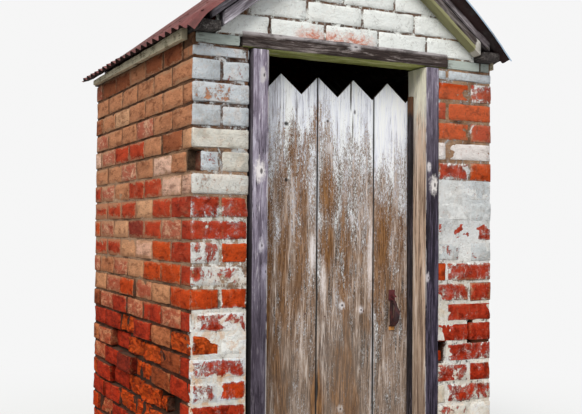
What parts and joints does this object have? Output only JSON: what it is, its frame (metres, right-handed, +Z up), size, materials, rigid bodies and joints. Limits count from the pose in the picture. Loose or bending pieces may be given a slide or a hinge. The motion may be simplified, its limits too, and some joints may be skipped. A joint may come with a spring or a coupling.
{
  "type": "brick shed",
  "caption": "Single-room brick outhouse with a gabled corrugated iron roof and a ledged timber door, saw-toothed along its top, that opens inward.",
  "frame": {"origin": "on the ground in the middle of the roof's and the footprint's plan", "axes": "+Z up, -Y out of the front face with the door, +X to the right seen from the front"},
  "size_m": [1.5024, 1.6002, 2.7171],
  "materials": {
    "brickwork": "weathered clay brick with worn limewash",
    "floor": "rough concrete",
    "frame_timber": "weathered bare timber",
    "door_timber": "worn white paint on bare boards",
    "fascia_timber": "flaking pale paint",
    "roof_iron": "rusted corrugated iron",
    "ironwork": "rusted wrought iron"
  },
  "bodies": {
    "shed": {"front_left_pier": "brickwork", "front_right_pier": "brickwork", "left_wall": "brickwork", "right_wall": "brickwork", "back_wall": "brickwork", "front_gable": "brickwork", "back_gable": "brickwork", "floor_slab": "floor", "door_sill": "frame_timber", "left_jamb": "frame_timber", "right_jamb": "frame_timber", "head_beam": "frame_timber", "left_door_stop": "frame_timber", "right_door_stop": "frame_timber", "left_front_plate": "frame_timber", "right_front_plate": "frame_timber", "left_wall_plate": "frame_timber", "right_wall_plate": "frame_timber", "front_left_rafter": "frame_timber", "front_right_rafter": "frame_timber", "back_left_rafter": "frame_timber", "back_right_rafter": "frame_timber", "front_left_verge": "frame_timber", "front_right_verge": "frame_timber", "back_left_verge": "frame_timber", "back_right_verge": "frame_timber", "left_battens": "frame_timber", "right_battens": "frame_timber", "left_roof_iron": "roof_iron", "right_roof_iron": "roof_iron", "ridge_cap": "roof_iron", "left_fascia": "fascia_timber", "right_fascia": "fascia_timber", "lower_hook": "ironwork", "upper_hook": "ironwork"},
    "door": {"door_board_1": "door_timber", "door_board_2": "door_timber", "door_board_3": "door_timber", "bottom_ledge": "frame_timber", "middle_ledge": "frame_timber", "top_ledge": "frame_timber", "door_braces": "frame_timber", "lower_band": "ironwork", "upper_band": "ironwork", "latch_plate": "ironwork", "latch_grip": "ironwork", "latch_thumb": "ironwork"}
  },
  "joints": [
    {"name": "door_hinge", "type": "hinge", "parent": "shed", "child": "door", "pos_m": [-0.389, -0.562, 1.01], "axis": [0, 0, 1], "range_deg": [0, 95]}
  ]
}
